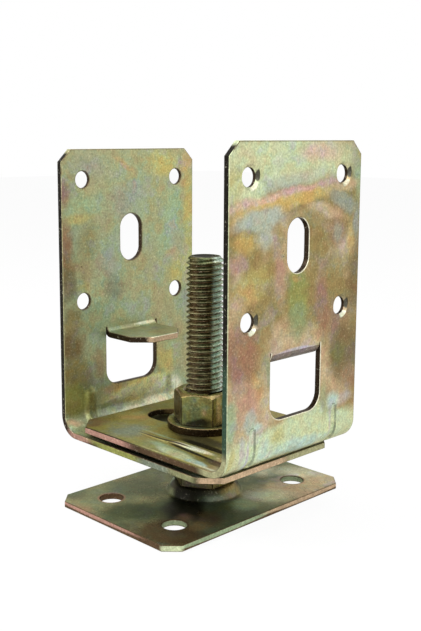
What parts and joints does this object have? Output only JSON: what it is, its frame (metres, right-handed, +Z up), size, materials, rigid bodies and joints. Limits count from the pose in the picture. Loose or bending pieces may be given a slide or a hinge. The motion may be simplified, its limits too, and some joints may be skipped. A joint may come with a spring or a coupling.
{
  "type": "adjustable timber post base",
  "caption": "Post base with crossed slotted brackets on a threaded stud, adjustable in width and height, over a small anchor plate.",
  "frame": {"origin": "on the underside of the base plate, on the axis of the stud", "axes": "+Z up along the stud, X across the post from wall to wall, Y along the width of the walls"},
  "size_m": [0.076, 0.079, 0.1154],
  "materials": {
    "base_plate": "iridescent yellow zinc passivate",
    "threaded_stud": "dark yellow zinc passivate, threaded",
    "lower_nut": "dark yellow zinc passivate",
    "lower_washer": "dark yellow zinc passivate",
    "lower_bracket": "iridescent yellow zinc passivate",
    "upper_bracket": "iridescent yellow zinc passivate",
    "upper_washer": "dark yellow zinc passivate",
    "upper_nut": "dark yellow zinc passivate"
  },
  "bodies": {
    "base": {"base_plate": "base_plate", "threaded_stud": "threaded_stud"},
    "carriage": {"lower_washer": "lower_washer"},
    "lower_nut": {"lower_nut": "lower_nut"},
    "upper_nut": {"upper_nut": "upper_nut"},
    "turntable": {"upper_washer": "upper_washer"},
    "lower_bracket": {"lower_bracket": "lower_bracket"},
    "upper_bracket": {"upper_bracket": "upper_bracket"}
  },
  "joints": [
    {"name": "height_adjust", "type": "slide", "parent": "base", "child": "carriage", "axis": [0, 0, 1], "range_m": [0, 0.04]},
    {"name": "lower_nut_turn", "type": "hinge", "parent": "carriage", "child": "lower_nut", "pos_m": [0, 0, 0.0105], "axis": [0, 0, 1], "range_deg": [0, 8228.6]},
    {"name": "upper_nut_turn", "type": "hinge", "parent": "carriage", "child": "upper_nut", "pos_m": [0, 0, 0.03085], "axis": [0, 0, 1], "range_deg": [0, 8228.6]},
    {"name": "swivel", "type": "hinge", "parent": "carriage", "child": "turntable", "pos_m": [0, 0, 0.0215], "axis": [0, 0, 1], "continuous": true},
    {"name": "lower_bracket_slide", "type": "slide", "parent": "turntable", "child": "lower_bracket", "axis": [-1, 0, 0], "range_m": [0, 0.0175]},
    {"name": "upper_bracket_slide", "type": "slide", "parent": "turntable", "child": "upper_bracket", "axis": [1, 0, 0], "range_m": [0, 0.0175]}
  ],
  "couplings": [
    {"joint": "lower_nut_turn", "follows": "height_adjust", "rad_per_m": 3590.4},
    {"joint": "upper_nut_turn", "follows": "height_adjust", "rad_per_m": 3590.4}
  ]
}
